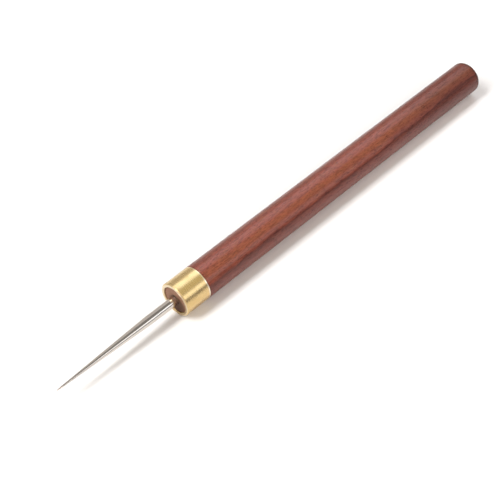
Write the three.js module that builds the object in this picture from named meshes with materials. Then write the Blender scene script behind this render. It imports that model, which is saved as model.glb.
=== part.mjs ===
// Jewelry awl: a turned hardwood handle, a brass ferrule on its front end and a tapered steel needle.
// Millimetres. The awl lies along X on its underside, with its tip towards -X and Z pointing up.
// Each piece is turned about the awl's own axis from an outline of (distance along X, radius) points.

import * as THREE from 'three';

// handle
const handleDiameter = 9.5;
const gripLength = 110.2;
const buttEdgeRadius = 1.1;
const shoulderEdgeRadius = 0.15;

// ferrule, flush with the handle
const ferruleLength = 7.9;
const ferruleWall = 0.95;
const mouthOuterChamfer = 0.25;
const mouthInnerChamfer = 0.1;
const rimChamfer = 0.1;

// the handle's tenon inside the ferrule
const tenonRecess = 0.25;
const tenonEdgeRadius = 0.2;
const tenonClearance = 0.05;
const seamClearance = 0.05;

// needle
const needleDiameter = 2.5;
const needleReach = 37.1;
const straightLength = 9.2;
const pointDiameter = 0.55;
const pointLength = 1.5;
const tipRadius = 0.12;

// the needle's tang, glued into a blind bore in the tenon
const tangDepth = 27;
const tangChamfer = 0.4;
const glueThickness = 0.2;
const glueClearance = 0.02;
const glueFilletRadius = 0.25;
const boreEndSpace = 1;
const drillPointAngle = 118;

// facets round each piece, and steps in each rounded edge
const facets = 32;
const arcSteps = 5;

// radii
const handleRadius = handleDiameter / 2;
const ferruleBoreRadius = handleRadius - ferruleWall;
const tenonRadius = ferruleBoreRadius - tenonClearance;
const needleRadius = needleDiameter / 2;
const boreRadius = needleRadius + glueThickness;

// places along X, from the tip to the butt
const totalLength = needleReach + ferruleLength + gripLength;
const tipX = -totalLength / 2;
const pointX = tipX + pointLength;
const mouthX = tipX + needleReach;
const taperX = mouthX - straightLength;
const tenonX = mouthX + tenonRecess;
const rimX = mouthX + ferruleLength;
const shoulderX = rimX + seamClearance;
const tangX = tenonX + tangDepth;
const boreX = tangX + boreEndSpace;
const buttX = totalLength / 2;

// the awl rests on one flat of its facets
const axisHeight = handleRadius * Math.cos(Math.PI / facets);

// points on an arc round (x, radius), from one angle to another in degrees, 0 along X and 90 outwards
function arc(x, radius, size, from, to) {
  const points = [];
  for (let step = 0; step <= arcSteps; step += 1) {
    const angle = THREE.MathUtils.degToRad(from + (to - from) * step / arcSteps);
    points.push([x + size * Math.cos(angle), radius + size * Math.sin(angle)]);
  }
  return points;
}

// a solid turned from its outline, with one flat facing down
function turned(name, outline, material) {
  const points = outline.map(([x, radius]) => new THREE.Vector2(radius, x));
  const geometry = new THREE.LatheGeometry(points, facets, Math.PI / facets);
  geometry.rotateZ(-Math.PI / 2);
  const mesh = new THREE.Mesh(geometry, material);
  mesh.name = name;
  return mesh;
}

// the wood: blind bore, tenon, shoulder, grip and rounded butt, in one piece
function handle() {
  const drillPoint = boreRadius / Math.tan(THREE.MathUtils.degToRad(drillPointAngle / 2));
  const outline = [
    [boreX + drillPoint, 0],
    [boreX, boreRadius],
    [tenonX, boreRadius],
    ...arc(tenonX + tenonEdgeRadius, tenonRadius - tenonEdgeRadius, tenonEdgeRadius, 180, 90),
    [shoulderX, tenonRadius],
    ...arc(shoulderX + shoulderEdgeRadius, handleRadius - shoulderEdgeRadius, shoulderEdgeRadius, 180, 90),
    ...arc(buttX - buttEdgeRadius, handleRadius - buttEdgeRadius, buttEdgeRadius, 90, 0),
    [buttX, 0],
  ];
  const wood = new THREE.MeshStandardMaterial({ color: 0x7a3b2e, roughness: 0.42, metalness: 0 });
  return turned('handle', outline, wood);
}

// the brass tube, with a chamfered mouth and a broken edge at its back rim
function ferrule() {
  const outline = [
    [mouthX + mouthInnerChamfer, ferruleBoreRadius],
    [mouthX, ferruleBoreRadius + mouthInnerChamfer],
    [mouthX, handleRadius - mouthOuterChamfer],
    [mouthX + mouthOuterChamfer, handleRadius],
    [rimX - rimChamfer, handleRadius],
    [rimX, handleRadius - rimChamfer],
    [rimX, ferruleBoreRadius],
    [mouthX + mouthInnerChamfer, ferruleBoreRadius],
  ];
  const brass = new THREE.MeshStandardMaterial({ color: 0xd8b062, roughness: 0.25, metalness: 1 });
  return turned('ferrule', outline, brass);
}

// the steel: rounded tip, short point, long taper, straight shank and tang, in one piece
function needle() {
  const outline = [
    ...arc(tipX + tipRadius, 0, tipRadius, 180, 90),
    [pointX, pointDiameter / 2],
    [taperX, needleRadius],
    [tangX - tangChamfer, needleRadius],
    [tangX, needleRadius - tangChamfer],
    [tangX, 0],
  ];
  const steel = new THREE.MeshStandardMaterial({ color: 0xc4c1bc, roughness: 0.18, metalness: 1 });
  return turned('needle', outline, steel);
}

// the glue: a sleeve that fills the bore round the tang, and a fillet on the tenon's end
function needleGlue() {
  const innerRadius = needleRadius + glueClearance;
  const outerRadius = boreRadius - glueClearance;
  const faceX = tenonX - glueClearance;
  const filletTopRadius = innerRadius + glueFilletRadius;
  const outline = [
    [tangX - tangChamfer, innerRadius],
    [faceX - glueFilletRadius, innerRadius],
    ...arc(faceX - glueFilletRadius, filletTopRadius, glueFilletRadius, 270, 360).slice(1),
    [faceX, outerRadius],
    [tangX - tangChamfer, outerRadius],
    [tangX - tangChamfer, innerRadius],
  ];
  const glue = new THREE.MeshStandardMaterial({ color: 0x33211a, roughness: 0.35, metalness: 0 });
  return turned('needle_glue', outline, glue);
}

const awl = new THREE.Group();
awl.add(handle(), ferrule(), needle(), needleGlue());
awl.position.z = axisHeight;

export default awl;
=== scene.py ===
# A jewelry awl: turned hardwood handle, brass ferrule, tapered steel needle and the glue at its root.
# Metres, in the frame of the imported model: the awl lies along X, its tip towards -X, Z pointing up.

import math

import bpy
from mathutils import Matrix, Vector


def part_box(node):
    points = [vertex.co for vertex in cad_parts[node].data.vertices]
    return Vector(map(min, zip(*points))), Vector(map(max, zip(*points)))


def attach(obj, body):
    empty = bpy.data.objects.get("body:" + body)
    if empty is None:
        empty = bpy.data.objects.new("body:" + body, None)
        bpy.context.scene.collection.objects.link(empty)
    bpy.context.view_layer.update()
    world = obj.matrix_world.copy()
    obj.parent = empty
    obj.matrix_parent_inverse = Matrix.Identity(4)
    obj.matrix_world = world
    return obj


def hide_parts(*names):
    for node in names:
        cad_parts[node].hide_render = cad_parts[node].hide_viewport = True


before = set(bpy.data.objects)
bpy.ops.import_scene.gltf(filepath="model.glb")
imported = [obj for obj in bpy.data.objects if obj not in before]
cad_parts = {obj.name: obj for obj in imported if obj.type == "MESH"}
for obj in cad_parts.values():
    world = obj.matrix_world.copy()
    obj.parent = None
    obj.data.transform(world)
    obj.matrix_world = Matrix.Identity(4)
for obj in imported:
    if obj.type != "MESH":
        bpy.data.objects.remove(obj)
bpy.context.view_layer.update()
scene = bpy.context.scene
mm = 0.001

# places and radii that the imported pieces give
handleLow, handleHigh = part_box("handle")
ferruleLow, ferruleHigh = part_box("ferrule")
needleLow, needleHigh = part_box("needle")
axisHeight = (ferruleLow.z + ferruleHigh.z) / 2
outerRadius = (ferruleHigh.z - ferruleLow.z) / 2
needleRadius = (needleHigh.z - needleLow.z) / 2
tipX, tangX = needleLow.x, needleHigh.x
mouthX, rimX = ferruleLow.x, ferruleHigh.x
tenonX, buttX = handleLow.x, handleHigh.x
lowerFront = (0.0, -0.851, -0.525)  # across the awl, to its lower front as the camera sees it
print("frame read: the awl is", round((buttX - tipX) / mm, 1), "mm long")


class Wire:
    # an output socket that takes part in sums: each operator adds a Math node
    def __init__(self, bench, socket):
        self.bench = bench
        self.socket = socket

    def __add__(self, other):
        return self.bench.sum("ADD", self, other)

    def __radd__(self, other):
        return self.bench.sum("ADD", other, self)

    def __sub__(self, other):
        return self.bench.sum("SUBTRACT", self, other)

    def __rsub__(self, other):
        return self.bench.sum("SUBTRACT", other, self)

    def __mul__(self, other):
        return self.bench.sum("MULTIPLY", self, other)

    def __rmul__(self, other):
        return self.bench.sum("MULTIPLY", other, self)

    def __truediv__(self, other):
        return self.bench.sum("DIVIDE", self, other)


class Bench:
    # a node tree with one method that makes any node and wires it up
    def __init__(self, tree):
        self.tree = tree

    def make(self, kind, settings=None, inputs=None, output=0):
        node = self.tree.nodes.new(kind)
        for name, value in (settings or {}).items():
            if name == "stops":
                self.setStops(node.color_ramp, value)
            else:
                setattr(node, name, value)
        for name, value in (inputs or {}).items():
            if isinstance(value, Wire):
                self.tree.links.new(value.socket, node.inputs[name])
            else:
                node.inputs[name].default_value = value
        return Wire(self, node.outputs[output]) if len(node.outputs) else node

    def setStops(self, ramp, stops):
        while len(ramp.elements) > 1:
            ramp.elements.remove(ramp.elements[-1])
        for number, (place, colour) in enumerate(stops):
            stop = ramp.elements[0] if number == 0 else ramp.elements.new(place)
            stop.position = place
            stop.color = (*colour, 1.0)

    def sum(self, operation, first, second=0.0):
        return self.make("ShaderNodeMath", {"operation": operation}, {0: first, 1: second})

    def vector(self, operation, first, second):
        return self.make("ShaderNodeVectorMath", {"operation": operation}, {0: first, 1: second})

    def towards(self, place, direction):
        # how far a place lies in a direction
        return self.make("ShaderNodeVectorMath", {"operation": "DOT_PRODUCT"},
                         {0: place, 1: direction}, "Value")

    def blend(self, factor, first, second, mode="MIX"):
        settings = {"data_type": "RGBA", "blend_type": mode}
        return self.make("ShaderNodeMix", settings, {0: factor, 6: first, 7: second}, 2)

    def noise(self, place, stretch, detail=2.0, roughness=0.5, distortion=0.0):
        inputs = {"Vector": self.vector("MULTIPLY", place, stretch), "Scale": 1.0, "Detail": detail,
                  "Roughness": roughness, "Distortion": distortion}
        return self.make("ShaderNodeTexNoise", {}, inputs)

    def ease(self, value, start, end, low=0.0, high=1.0):
        inputs = {"Value": value, "From Min": start, "From Max": end, "To Min": low, "To Max": high}
        return self.make("ShaderNodeMapRange", {"interpolation_type": "SMOOTHSTEP"}, inputs)


def newMaterial(name):
    # a material with an empty tree, and the place on the awl in millimetres from its axis
    material = bpy.data.materials.new(name)
    material.use_nodes = True
    material.node_tree.nodes.clear()
    bench = Bench(material.node_tree)
    metres = bench.make("ShaderNodeTexCoord", {}, {}, "Object")
    fromAxis = bench.vector("SUBTRACT", metres, (0.0, 0.0, axisHeight))
    place = bench.vector("MULTIPLY", fromAxis, (1 / mm, 1 / mm, 1 / mm))
    return material, bench, place


def finishMaterial(bench, values):
    # values are what the shader's sockets get
    shader = bench.make("ShaderNodeBsdfPrincipled", {}, values)
    bench.make("ShaderNodeOutputMaterial", {}, {"Surface": shader})


def distanceFromAxis(bench, place):
    across = bench.vector("MULTIPLY", place, (0.0, 1.0, 1.0))
    return bench.make("ShaderNodeVectorMath", {"operation": "LENGTH"}, {0: across}, "Value")


def newTree(name, sockets):
    # a geometry tree with named inputs, each (name, kind, value)
    tree = bpy.data.node_groups.new(name, "GeometryNodeTree")
    for label, kind, value in sockets:
        socket = tree.interface.new_socket(label, in_out="INPUT", socket_type=kind)
        if value is not None:
            socket.default_value = value
    tree.interface.new_socket("Geometry", in_out="OUTPUT", socket_type="NodeSocketGeometry")
    return tree


def closeTree(bench, group, shape, sharpAngle):
    # welds seams and poles, marks the sharp edges and gives the piece its material
    welded = bench.make("GeometryNodeMergeByDistance", {}, {"Geometry": shape, "Distance": 0.0001 * mm})
    smooth = bench.make("GeometryNodeSetShadeSmooth", {"domain": "FACE"},
                        {"Geometry": welded, "Shade Smooth": True})
    angle = bench.make("GeometryNodeInputMeshEdgeAngle")
    sharp = bench.make("FunctionNodeCompare", {"operation": "GREATER_THAN"}, {0: angle, 1: sharpAngle})
    creased = bench.make("GeometryNodeSetShadeSmooth", {"domain": "EDGE"},
                         {"Geometry": smooth, "Selection": sharp, "Shade Smooth": False})
    realized = bench.make("GeometryNodeRealizeInstances", {}, {"Geometry": creased})
    finished = bench.make("GeometryNodeSetMaterial", {},
                          {"Geometry": realized, "Material": group("Material")})
    bench.make("NodeGroupOutput", {}, {"Geometry": finished})


def groupInputs(bench):
    node = bench.tree.nodes.new("NodeGroupInput")
    return lambda name: Wire(bench, node.outputs[name])


def latheTree():
    # turns an outline, whose points hold distance along X and radius in Z, about the awl's axis
    tree = newTree("lathe", [
        ("Outline", "NodeSocketGeometry", None),
        ("Facets", "NodeSocketInt", 96),
        ("Axis Height", "NodeSocketFloat", 4.7 * mm),
        ("Sharp Angle", "NodeSocketFloat", 0.7),
        ("Material", "NodeSocketMaterial", None),
    ])
    bench = Bench(tree)
    group = groupInputs(bench)
    count = bench.make("GeometryNodeAttributeDomainSize", {"component": "MESH"},
                       {"Geometry": group("Outline")}, "Point Count")
    rows = group("Facets") + 1
    grid = bench.make("GeometryNodeMeshGrid", {}, {"Size X": 1.0, "Size Y": 1.0, "Vertices X": count,
                                                   "Vertices Y": rows})
    index = bench.make("GeometryNodeInputIndex")
    station = bench.sum("FLOOR", (index + 0.5) / rows)
    turn = (index - station * rows) * (2 * math.pi) / group("Facets")
    place = bench.make("GeometryNodeInputPosition")
    point = bench.make("GeometryNodeSampleIndex", {"data_type": "FLOAT_VECTOR", "domain": "POINT"},
                       {"Geometry": group("Outline"), "Value": place, "Index": station})
    parts = bench.make("ShaderNodeSeparateXYZ", {}, {"Vector": point})
    radius = Wire(bench, parts.socket.node.outputs["Z"])
    across = radius * bench.sum("SINE", turn)
    height = radius * bench.sum("COSINE", turn) + group("Axis Height")
    turned = bench.make("ShaderNodeCombineXYZ", {}, {"X": parts, "Y": across, "Z": height})
    shaped = bench.make("GeometryNodeSetPosition", {}, {"Geometry": grid, "Position": turned})
    closeTree(bench, group, shaped, group("Sharp Angle"))
    return tree


def runTree(name, tree, sizes, outline=None):
    # runs a tree on an outline, or on nothing, and keeps the result as a plain mesh
    start = bpy.data.meshes.new(name + "Start")
    if outline:
        start.from_pydata([(x, 0.0, radius) for x, radius in outline], [], [])
    piece = bpy.data.objects.new(name, start)
    scene.collection.objects.link(piece)
    modifier = piece.modifiers.new("shape", "NODES")
    modifier.node_group = tree
    for socket in tree.interface.items_tree:
        if socket.in_out == "INPUT" and socket.name in sizes:
            modifier[socket.identifier] = sizes[socket.name]
    ready = piece.evaluated_get(bpy.context.evaluated_depsgraph_get())
    finished = bpy.data.meshes.new_from_object(ready)
    piece.modifiers.clear()
    piece.data = finished
    finished.name = name
    bpy.data.meshes.remove(start)
    print(name, "made:", len(finished.polygons), "faces")
    return piece


def arcPoints(x, radius, size, start, end, steps):
    # points on an arc round (x, radius), angles in degrees, 0 along X and 90 outwards
    points = []
    for step in range(steps + 1):
        angle = math.radians(start + (end - start) * step / steps)
        points.append((x + size * math.cos(angle), radius + size * math.sin(angle)))
    return points


def stationPoints(start, end, radius, spacing):
    # points along a straight length, so that its shading stays true between its ends
    count = max(2, round(abs(end - start) / spacing))
    return [(start + (end - start) * step / count, radius) for step in range(1, count)]


def softened(corners, size, steps):
    # a closed outline with each corner rounded off by a small arc-like curve
    points = []
    for number, corner in enumerate(corners):
        before = Vector(corners[number - 1])
        here = Vector(corner)
        after = Vector(corners[(number + 1) % len(corners)])
        start = here + (before - here).normalized() * size
        end = here + (after - here).normalized() * size
        for step in range(steps + 1):
            share = step / steps
            point = start * (1 - share) ** 2 + here * 2 * share * (1 - share) + end * share ** 2
            points.append(tuple(point))
    return points + [points[0]]


turning = latheTree()

# ferrule: a brass tube, flush with the handle, with a chamfered mouth and fine turning rings
ferruleSizes = {
    "wall": 0.95 * mm,
    "mouthOuterChamfer": 0.25 * mm,
    "mouthInnerChamfer": 0.1 * mm,
    "rimChamfer": 0.1 * mm,
    "edgeSoftness": 0.06 * mm,
    "edgeSteps": 4,
    "sharpAngle": 50,
    "facets": 128,
    "spacing": 0.6 * mm,
    "brass": (0.67, 0.49, 0.235),
    "warmBrass": (0.59, 0.40, 0.165),
    # pale brass for the rubbed faces, also painted paler there as a highlight
    "rubbedAndHighlitBrass": (0.84, 0.74, 0.58),
    # brass for the painted shade inside the lip
    "lipShadeBrass": (0.42, 0.28, 0.11),
    "roughness": 0.24,
    # where a finish, a painted highlight or a painted shade starts and ends, in mm from the mouth, from the
    # back rim or from the axis
    "mouthFace": (0.1, 0.04),
    "mouthChamfer": (0.34, 0.22),
    "rimBand": (-0.6, -0.3),
    "lipShadeRadius": (4.4, 4.15),
}
boreRadius = outerRadius - ferruleSizes["wall"]


def brassMaterial(values):
    material, bench, place = newMaterial("turned_brass")
    along = bench.make("ShaderNodeSeparateXYZ", {}, {"Vector": place}, "X")
    fromMouth = along - mouthX / mm
    fromRim = along - rimX / mm
    lower = bench.towards(place, lowerFront)
    rings = bench.noise(place, (9.0, 0.25, 0.25), 4.0, 0.65)
    fineRings = bench.noise(place, (34.0, 0.6, 0.6), 2.0, 0.6)
    clouds = bench.noise(place, (0.35, 0.45, 0.45), 3.0, 0.55)
    scratches = bench.noise(place, (0.5, 7.0, 7.0), 3.0, 0.7)
    tarnish = bench.ease(clouds, 0.42, 0.72)
    colour = bench.blend(tarnish * 0.45, (*values["brass"], 1), (*values["warmBrass"], 1))
    colour = bench.blend(bench.ease(rings, 0.3, 0.7, 0.0, 0.1), colour, (*values["warmBrass"], 1))
    # the face of the mouth and a band at the back rim are rubbed pale, and painted paler still as a
    # highlight, most on the rim's lower front
    mouthFace = bench.ease(fromMouth, *values["mouthFace"])
    rimBand = bench.ease(fromRim, *values["rimBand"])
    rubbedAndHighlit = mouthFace * 0.7 + rimBand * bench.ease(lower, -2.5, 1.0, 0.3, 0.9)
    rubbedAndHighlit = rubbedAndHighlit * bench.ease(clouds, 0.2, 0.5, 0.7, 1.0)
    colour = bench.blend(rubbedAndHighlit, colour, (*values["rubbedAndHighlitBrass"], 1))
    # painted shade darkens the inside of the lip on its lower front
    inside = bench.ease(distanceFromAxis(bench, place), *values["lipShadeRadius"])
    lipShade = inside * bench.ease(lower, -0.5, 2.0) * mouthFace
    colour = bench.blend(lipShade * 0.7, colour, (*values["lipShadeBrass"], 1))
    chamfer = bench.ease(fromMouth, *values["mouthChamfer"])
    roughness = values["roughness"] + tarnish * 0.06 + chamfer * 0.2
    roughness = roughness + bench.ease(fineRings, 0.35, 0.75) * 0.06
    height = rings * 0.6 + fineRings * 0.3 + scratches * 0.1
    bump = bench.make("ShaderNodeBump", {}, {"Strength": 0.3, "Distance": 0.002 * mm, "Height": height})
    finishMaterial(bench, {"Base Color": colour, "Metallic": 1.0, "Roughness": roughness, "Normal": bump})
    return material


def ferrule(values):
    corners = [
        (mouthX + values["mouthInnerChamfer"], boreRadius),
        (mouthX, boreRadius + values["mouthInnerChamfer"]),
        (mouthX, outerRadius - values["mouthOuterChamfer"]),
        (mouthX + values["mouthOuterChamfer"], outerRadius),
        (rimX - values["rimChamfer"], outerRadius),
        (rimX, outerRadius - values["rimChamfer"]),
        (rimX, boreRadius),
    ]
    softness, steps = values["edgeSoftness"], values["edgeSteps"]
    outline = softened(corners, softness, steps)
    front, back = corners[3][0] + softness, corners[4][0] - softness
    split = 4 * (steps + 1)  # after the points of the first four corners
    outline[split:split] = stationPoints(front, back, outerRadius, values["spacing"])
    return runTree("brass_ferrule", turning, {
        "Facets": values["facets"], "Axis Height": axisHeight,
        "Sharp Angle": math.radians(values["sharpAngle"]), "Material": brassMaterial(values)}, outline)


# handle: one piece of close-grained red-brown wood, with the tenon inside the ferrule
handleSizes = {
    "seam": 0.05 * mm,
    "tenonClearance": 0.05 * mm,
    "tenonEdgeRadius": 0.2 * mm,
    "shoulderEdgeRadius": 0.15 * mm,
    "buttEdgeRadius": 1.1 * mm,
    "boreClearance": 0.2 * mm,
    "boreEndSpace": 1.0 * mm,
    "drillPoint": 0.87 * mm,
    "edgeSteps": 6,
    "buttSteps": 16,
    "sharpAngle": 40,
    "facets": 96,
    "spacing": 2.0 * mm,
    # the growth layers that the handle was cut across, from its upper back to its lower front
    "layers": [
        (0.05, (0.195, 0.049, 0.032)),
        (0.20, (0.25, 0.063, 0.040)),
        (0.34, (0.245, 0.058, 0.032)),
        (0.46, (0.25, 0.064, 0.029)),
        (0.58, (0.225, 0.053, 0.027)),
        (0.69, (0.215, 0.046, 0.025)),
        (0.755, (0.108, 0.022, 0.014)),
        (0.80, (0.15, 0.032, 0.019)),
        (0.88, (0.185, 0.038, 0.023)),
    ],
    "orangeWood": (0.24, 0.070, 0.028),
    "darkStreak": (0.36, 0.28, 0.28),
    "fleckWood": (0.10, 0.038, 0.022),
    "poreWood": (0.035, 0.010, 0.008),
    "endWood": (0.26, 0.135, 0.085),
    # dark end wood, for the glue stain with painted shadow, and for end grain
    "darkEndWood": (0.072, 0.032, 0.017),
    "duskyButt": (0.58, 0.72, 0.9),
    # colour of the painted shade on the butt's rounded rim and end
    "buttRimShade": (0.36, 0.36, 0.4),
    # where a tone or painted shade starts and ends, in mm from the butt, from the tenon's end or from the
    # middle of the stain and painted shadow
    "duskyLength": (-47.6, -11.6),
    "buttShadeLength": (-1.9, -0.7),
    "bareLength": (0.3, 0.1),
    "stainAndShadowReach": (2.0, 3.3),
    "stainAndShadowPlace": (0.0, -0.5, -1.0),
}


def woodMaterial(values):
    material, bench, place = newMaterial("oiled_hardwood")
    along = bench.make("ShaderNodeSeparateXYZ", {}, {"Vector": place}, "X")
    fromButt = along - buttX / mm
    dusky = bench.ease(fromButt, *values["duskyLength"])
    # the grain runs a little askew of the awl
    drift = bench.make("ShaderNodeMapping", {}, {"Vector": place, "Rotation": (0.0, 0.004, -0.004)})
    sway = bench.noise(drift, (0.018, 0.06, 0.06), 2.0, 0.5)
    waver = bench.noise(drift, (0.16, 0.5, 0.5), 2.0, 0.5)
    layer = bench.towards(drift, lowerFront) / (2 * outerRadius / mm) + 0.5
    layer = layer + (sway - 0.5) * 0.18 + (waver - 0.5) * 0.2 + dusky * 0.07
    mottle = bench.noise(drift, (0.34, 0.8, 0.8), 3.0, 0.6, 0.6)
    streaks = bench.noise(drift, (0.36, 2.2, 2.2), 4.0, 0.7, 0.3)
    fibres = bench.noise(drift, (0.8, 5.0, 5.0), 3.0, 0.65)
    clouds = bench.noise(place, (0.06, 0.25, 0.25), 2.0, 0.5)
    poreCells = bench.make("ShaderNodeTexVoronoi", {}, {
        "Vector": bench.vector("MULTIPLY", drift, (0.8, 3.4, 3.4)), "Scale": 1.0, "Randomness": 1.0})
    pores = bench.ease(poreCells, 0.12, 0.34, 1.0, 0.0) * bench.ease(clouds, 0.25, 0.5)
    flecks = bench.ease(bench.noise(drift, (0.85, 2.6, 2.6), 3.0, 0.7), 0.54, 0.68)
    colour = bench.make("ShaderNodeValToRGB", {"stops": values["layers"]}, {"Fac": layer})
    warmer = bench.ease(mottle, 0.5, 0.68, 0.0, 0.5) * bench.ease(layer, 0.74, 0.62) * (1.0 - dusky * 0.8)
    colour = bench.blend(warmer, colour, (*values["orangeWood"], 1))
    darker = bench.ease(streaks, 0.52, 0.36, 0.0, 0.5) + bench.ease(fibres, 0.55, 0.36, 0.0, 0.36)
    colour = bench.blend(darker, colour, (*values["darkStreak"], 1), "MULTIPLY")
    colour = bench.blend(flecks * 0.4, colour, (*values["fleckWood"], 1))
    colour = bench.blend(pores * 0.6, colour, (*values["poreWood"], 1))
    # the wood darkens and greys towards the butt, and painted shade darkens its rounded rim and end
    colour = bench.blend(dusky * 0.65, colour, (*values["duskyButt"], 1), "MULTIPLY")
    buttShade = bench.ease(fromButt, *values["buttShadeLength"])
    colour = bench.blend(buttShade * 0.7, colour, (*values["buttRimShade"], 1), "MULTIPLY")
    # the tenon's bare end is paler, and dark round the needle where the glue ran, with painted shadow of
    # the needle and painted shade on its lower front
    bareEnd = bench.ease(along - tenonX / mm, *values["bareLength"])
    fromStainAndShadow = bench.vector("SUBTRACT", place, values["stainAndShadowPlace"])
    blotches = bench.noise(place, (0.8, 0.8, 0.8), 3.0, 0.6)
    stainAndShadowDistance = distanceFromAxis(bench, fromStainAndShadow) + (blotches - 0.5) * 1.6
    stainAndShadow = bench.ease(stainAndShadowDistance, *values["stainAndShadowReach"], 0.9, 0.0)
    endColour = bench.blend(stainAndShadow, (*values["endWood"], 1), (*values["darkEndWood"], 1))
    endGrains = bench.ease(bench.noise(place, (3.0, 5.0, 5.0), 2.0, 0.6), 0.55, 0.7, 0.0, 0.5)
    endColour = bench.blend(endGrains, endColour, (*values["darkEndWood"], 1))
    colour = bench.blend(bareEnd, colour, endColour)
    oiled = (0.55 - dusky * 0.1 - pores * 0.3) * (1.0 - bareEnd)
    roughness = 0.5 + fibres * 0.1 + pores * 0.2
    height = fibres * 0.5 - pores * 1.0 + streaks * 0.2
    bump = bench.make("ShaderNodeBump", {}, {"Strength": 0.4, "Distance": 0.008 * mm, "Height": height})
    finishMaterial(bench, {"Base Color": colour, "Roughness": roughness, "Normal": bump,
                           "Specular IOR Level": 0.15, "Coat Weight": oiled, "Coat Roughness": 0.18})
    return material


def handle(values):
    tenonRadius = boreRadius - values["tenonClearance"]
    holeRadius = needleRadius + values["boreClearance"]
    holeX = tangX + values["boreEndSpace"]
    shoulderX = rimX + values["seam"]
    edge, shoulder, butt = values["tenonEdgeRadius"], values["shoulderEdgeRadius"], values["buttEdgeRadius"]
    steps, spacing = values["edgeSteps"], values["spacing"]
    outline = [(holeX + values["drillPoint"], 0.0), (holeX, holeRadius)]
    outline += stationPoints(holeX, tenonX, holeRadius, spacing)
    outline += [(tenonX, holeRadius), (tenonX, (holeRadius + tenonRadius) / 2)]
    outline += arcPoints(tenonX + edge, tenonRadius - edge, edge, 180, 90, steps)
    outline += stationPoints(tenonX + edge, shoulderX, tenonRadius, spacing)
    outline += [(shoulderX, tenonRadius)]
    outline += arcPoints(shoulderX + shoulder, outerRadius - shoulder, shoulder, 180, 90, steps)
    outline += stationPoints(shoulderX + shoulder, buttX - butt, outerRadius, spacing)
    outline += arcPoints(buttX - butt, outerRadius - butt, butt, 90, 0, values["buttSteps"])
    # rings across the flat of the butt
    outline += [(buttX, (outerRadius - butt) * share) for share in (0.98, 0.66, 0.33, 0.0)]
    return runTree("wood_handle", turning, {
        "Facets": values["facets"], "Axis Height": axisHeight,
        "Sharp Angle": math.radians(values["sharpAngle"]), "Material": woodMaterial(values)}, outline)


# needle: ground and polished steel, shaped by the rule of its diameter along its length
needleSizes = {
    "straightLength": 9.2 * mm,
    "pointRadius": 0.275 * mm,
    "pointLength": 1.5 * mm,
    "tipRadius": 0.12 * mm,
    "tangChamfer": 0.4 * mm,
    "steep": 1e6,  # so steep that a slope becomes a step
    "sharpAngle": 40,
    "facets": 64,
    "stations": 180,
    "steel": (0.65, 0.598, 0.55),
    "shadedSteel": (0.50, 0.475, 0.455),
    "roughness": 0.13,
}


def needleTree(values):
    # a rod whose radius follows the rule of nose, point, taper, shank and tang
    tree = newTree("needleRule", [
        ("Tip X", "NodeSocketFloat", -77.6 * mm),
        ("Total Length", "NodeSocketFloat", 64.4 * mm),
        ("Taper Start", "NodeSocketFloat", 27.9 * mm),
        ("Shank Radius", "NodeSocketFloat", 1.25 * mm),
        ("Point Radius", "NodeSocketFloat", 0.275 * mm),
        ("Point Length", "NodeSocketFloat", 1.5 * mm),
        ("Tip Radius", "NodeSocketFloat", 0.12 * mm),
        ("Tang Chamfer", "NodeSocketFloat", 0.4 * mm),
        ("Axis Height", "NodeSocketFloat", 4.7 * mm),
        ("Stations", "NodeSocketInt", 180),
        ("Facets", "NodeSocketInt", 64),
        ("Sharp Angle", "NodeSocketFloat", 0.7),
        ("Material", "NodeSocketMaterial", None),
    ])
    bench = Bench(tree)
    group = groupInputs(bench)
    rod = bench.make("GeometryNodeMeshCylinder", {"fill_type": "TRIANGLE_FAN"}, {
        "Vertices": group("Facets"), "Side Segments": group("Stations"), "Radius": 1.0, "Depth": 1.0})
    place = bench.make("GeometryNodeInputPosition")
    parts = bench.make("ShaderNodeSeparateXYZ", {}, {"Vector": place})
    along = Wire(bench, parts.socket.node.outputs["Z"]) + 0.5
    # the stations crowd towards the tip
    fromTip = group("Total Length") * along * along
    pastTip = fromTip - group("Tip Radius")
    # a round nose as far as the tip's radius, which stays full from there on
    nose = bench.sum("SQRT", bench.sum("MAXIMUM", fromTip * (2.0 * group("Tip Radius") - fromTip), 0.0))
    fullNose = bench.sum("MINIMUM", group("Tip Radius"), pastTip * values["steep"])
    nose = bench.sum("MAXIMUM", nose, fullNose)
    pointRise = group("Point Radius") - group("Tip Radius")
    point = bench.sum("MAXIMUM", pastTip, 0.0) * (pointRise / (group("Point Length") - group("Tip Radius")))
    taperRise = group("Shank Radius") - group("Point Radius")
    taperSlope = taperRise / (group("Taper Start") - group("Point Length"))
    taper = group("Point Radius") + (fromTip - group("Point Length")) * taperSlope
    shank = bench.sum("MINIMUM", taper, group("Shank Radius"))
    tang = group("Shank Radius") + group("Total Length") - fromTip - group("Tang Chamfer")
    radius = bench.sum("MINIMUM", bench.sum("MINIMUM", nose + point, shank), tang)
    aroundY = Wire(bench, parts.socket.node.outputs["X"]) * radius
    aroundZ = Wire(bench, parts.socket.node.outputs["Y"]) * radius + group("Axis Height")
    turned = bench.make("ShaderNodeCombineXYZ", {},
                        {"X": group("Tip X") + fromTip, "Y": aroundY, "Z": aroundZ})
    shaped = bench.make("GeometryNodeSetPosition", {}, {"Geometry": rod, "Position": turned})
    closeTree(bench, group, shaped, group("Sharp Angle"))
    return tree


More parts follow.
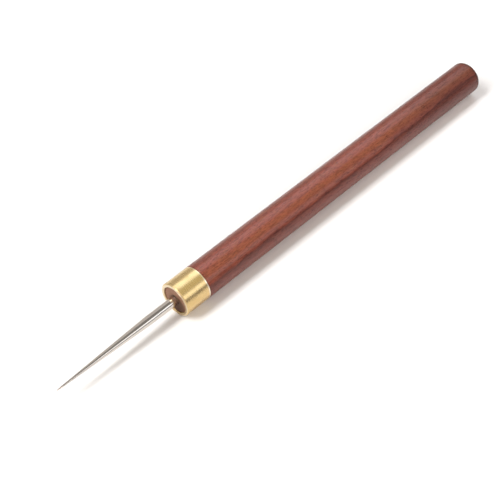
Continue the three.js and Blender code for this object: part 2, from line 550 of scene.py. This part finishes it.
def steelMaterial(values):
    material, bench, place = newMaterial("polished_steel")
    lines = bench.noise(place, (0.12, 16.0, 16.0), 4.0, 0.65)
    fineLines = bench.noise(place, (0.5, 48.0, 48.0), 2.0, 0.6)
    clouds = bench.noise(place, (0.25, 0.8, 0.8), 3.0, 0.55)
    worn = bench.ease(clouds, 0.4, 0.7)
    # fine marks round the needle, left by its grinding
    rings = bench.noise(place, (11.0, 0.5, 0.5), 3.0, 0.6)
    colour = bench.blend(worn * 0.3, (*values["steel"], 1), (*values["shadedSteel"], 1))
    roughness = values["roughness"] + worn * 0.04 + bench.ease(lines, 0.35, 0.75) * 0.04
    height = rings + lines * 0.1 + fineLines * 0.05
    bump = bench.make("ShaderNodeBump", {}, {"Strength": 0.5, "Distance": 0.002 * mm, "Height": height})
    finishMaterial(bench, {"Base Color": colour, "Metallic": 1.0, "Roughness": roughness, "Normal": bump})
    return material


def needle(values):
    return runTree("steel_needle", needleTree(values), {
        "Tip X": tipX, "Total Length": tangX - tipX,
        "Taper Start": mouthX - values["straightLength"] - tipX, "Shank Radius": needleRadius,
        "Point Radius": values["pointRadius"], "Point Length": values["pointLength"],
        "Tip Radius": values["tipRadius"], "Tang Chamfer": values["tangChamfer"],
        "Axis Height": axisHeight, "Stations": values["stations"], "Facets": values["facets"],
        "Sharp Angle": math.radians(values["sharpAngle"]), "Material": steelMaterial(values)})


# glue: a dark cured sleeve round the tang, with a small fillet on the tenon's end
glueSizes = {
    "thickness": 0.2 * mm,
    "clearance": 0.02 * mm,
    "filletRadius": 0.25 * mm,
    "filletSteps": 8,
    "tangChamfer": 0.4 * mm,
    "sharpAngle": 40,
    "facets": 64,
    "spacing": 2.0 * mm,
    "darkGlue": (0.045, 0.026, 0.017),
    "amberGlue": (0.12, 0.065, 0.036),
}


def glueMaterial(values):
    material, bench, place = newMaterial("cured_glue")
    clouds = bench.noise(place, (1.6, 1.6, 1.6), 3.0, 0.6)
    grains = bench.noise(place, (9.0, 9.0, 9.0), 2.0, 0.6)
    amber = bench.ease(clouds, 0.35, 0.7)
    colour = bench.blend(amber, (*values["darkGlue"], 1), (*values["amberGlue"], 1))
    bump = bench.make("ShaderNodeBump", {}, {"Strength": 0.4, "Distance": 0.01 * mm, "Height": grains})
    finishMaterial(bench, {"Base Color": colour, "Roughness": 0.5 + clouds * 0.2, "Normal": bump,
                           "Specular IOR Level": 0.25})
    return material


def glue(values):
    inner = needleRadius + values["clearance"]
    outer = needleRadius + values["thickness"] - values["clearance"]
    face = tenonX - values["clearance"]
    fillet = values["filletRadius"]
    end = tangX - values["tangChamfer"]
    outline = [(end, inner)] + stationPoints(end, face - fillet, inner, values["spacing"])
    outline += arcPoints(face - fillet, inner + fillet, fillet, 270, 360, values["filletSteps"])
    outline += [(face, outer)] + stationPoints(face, end, outer, values["spacing"])
    outline += [(end, outer), (end, inner)]
    return runTree("glue_sleeve", turning, {
        "Facets": values["facets"], "Axis Height": axisHeight,
        "Sharp Angle": math.radians(values["sharpAngle"]), "Material": glueMaterial(values)}, outline)


pieces = [
    (handle(handleSizes), "handle", "handle_wood"),
    (ferrule(ferruleSizes), "ferrule", "ferrule_brass"),
    (needle(needleSizes), "needle", "needle_steel"),
    (glue(glueSizes), "needle_glue", "glue"),
]
for piece, node, slot in pieces:
    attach(piece, "root")
    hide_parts(node)
print("pieces in place of the frame's nodes:", len(pieces))


# studio: a white table under one strong softbox, with soft panels and small fills round it
studio = {
    "tableHalf": 0.6,
    "table": (0.79, 0.79, 0.785),
    "tableFibre": (0.7, 0.7, 0.7),
    "cameraPlace": (-153.71 * mm, -135.61 * mm, 221.68 * mm),
    "cameraTurn": (41.534, 0.0, -45.856),
    "lens": 82.053,
    "sensor": 36.0,
    # name, height across the awl and lean along it in degrees, distance, length, depth, brightness,
    # colour, and what it lights: all, rest (all but the needle) or table
    "lamps": [
        ("main_softbox", 73.0, -35.0, 1.0, 0.65, 0.27, 18.3, (1.0, 1.0, 1.0), "all"),
        ("side_softbox", 66.0, 31.0, 1.5, 0.9, 1.0, 1.52, (0.88, 1.0, 1.14), "rest"),
        ("ceiling_panel", 106.0, 27.0, 2.0, 1.3, 1.3, 0.5, (1.0, 0.95, 0.6), "rest"),
        ("back_panel", 38.0, 22.0, 2.0, 1.4, 2.8, 0.42, (1.0, 0.96, 0.93), "all"),
        ("front_strip", 145.5, 24.0, 1.5, 0.8, 0.64, 1.62, (0.94, 1.0, 1.06), "all"),
        ("front_fill", 142.0, -14.0, 1.1, 0.8, 0.8, 2.3, (1.0, 0.86, 0.79), "all"),
        ("butt_fill", 122.0, 52.0, 0.12, 0.05, 0.05, 1.35, (1.0, 0.84, 0.84), "table"),
        ("tip_fill", 122.0, -60.0, 0.12, 0.04, 0.04, 1.3, (1.0, 0.84, 0.72), "table"),
    ],
    "air": (1.0, 0.94, 0.89),
    "horizon": 0.25,
    "ceiling": 0.29,
    "ceilingFrom": (0.15, 0.55),  # the sines of the heights between which the air brightens
    "backdrop": 0.93,
}


def table(values):
    half = values["tableHalf"]
    mesh = bpy.data.meshes.new("table")
    corners = [(-half, -half, 0), (half, -half, 0), (half, half, 0), (-half, half, 0)]
    mesh.from_pydata(corners, [], [(0, 1, 2, 3)])
    top = bpy.data.objects.new("table", mesh)
    scene.collection.objects.link(top)
    material, bench, place = newMaterial("white_card")
    fibre = bench.ease(bench.noise(place, (1.2, 1.2, 1.2), 3.0, 0.6), 0.3, 0.7, 0.0, 0.02)
    shade = bench.blend(fibre, (*values["table"], 1), (*values["tableFibre"], 1))
    finishMaterial(bench, {"Base Color": shade, "Roughness": 0.75})
    mesh.materials.append(material)
    return top


def litGroup(name, things):
    # a lamp that is given such a group lights nothing else
    group = bpy.data.collections.new(name)
    for thing in things:
        group.objects.link(thing)
    return group


def lamp(name, height, lean, distance, length, depth, brightness, colour, lit):
    # a softbox that faces the awl, its length running the way the awl does; lit is a group, or None for all
    up, along = math.radians(height), math.radians(lean)
    towards = Vector((math.sin(along), math.cos(along) * math.cos(up), math.cos(along) * math.sin(up)))
    lengthwise = Vector((math.cos(along), -math.sin(along) * math.cos(up),
                         -math.sin(along) * math.sin(up)))
    sideways = towards.cross(lengthwise)
    light = bpy.data.lights.new(name, "AREA")
    light.shape = "RECTANGLE"
    light.size = length
    light.size_y = depth
    light.energy = brightness * math.pi * length * depth
    light.color = colour
    body = bpy.data.objects.new(name, light)
    body.location = towards * distance
    body.rotation_euler = Matrix((lengthwise, sideways, towards)).transposed().to_euler()
    body.visible_camera = False
    scene.collection.objects.link(body)
    if lit:
        body.light_linking.receiver_collection = lit


def surroundings(values):
    world = bpy.data.worlds.new("studio_air")
    world.use_nodes = True
    world.node_tree.nodes.clear()
    bench = Bench(world.node_tree)
    direction = bench.make("ShaderNodeTexCoord", {}, {}, "Generated")
    height = bench.make("ShaderNodeSeparateXYZ", {}, {"Vector": direction}, "Z")
    level = bench.ease(height, *values["ceilingFrom"], values["horizon"], values["ceiling"])
    air = bench.make("ShaderNodeBackground", {}, {"Color": (*values["air"], 1.0), "Strength": level})
    # behind the table the camera sees a pale backdrop
    pale = bench.make("ShaderNodeBackground", {},
                      {"Color": (1.0, 1.0, 1.0, 1.0), "Strength": values["backdrop"]})
    seen = bench.make("ShaderNodeLightPath", {}, {}, "Is Camera Ray")
    both = bench.make("ShaderNodeMixShader", {}, {0: seen, 1: air, 2: pale})
    bench.make("ShaderNodeOutputWorld", {}, {"Surface": both})
    scene.world = world


def photographer(values):
    view = bpy.data.cameras.new("camera")
    view.lens = values["lens"]
    view.sensor_width = values["sensor"]
    view.clip_start = 0.01
    body = bpy.data.objects.new("camera", view)
    body.location = values["cameraPlace"]
    body.rotation_euler = [math.radians(turn) for turn in values["cameraTurn"]]
    scene.collection.objects.link(body)
    scene.camera = body


top = table(studio)
rest = [piece for piece, node, slot in pieces if node != "needle"]
litGroups = {
    "all": None,
    "rest": litGroup("all_but_needle", [top, *rest]),
    "table": litGroup("only_table", [top]),
}
for *settings, lights in studio["lamps"]:
    lamp(*settings, litGroups[lights])
surroundings(studio)
photographer(studio)
scene.view_settings.view_transform = "Standard"
print("studio set with", len(studio["lamps"]), "softboxes")
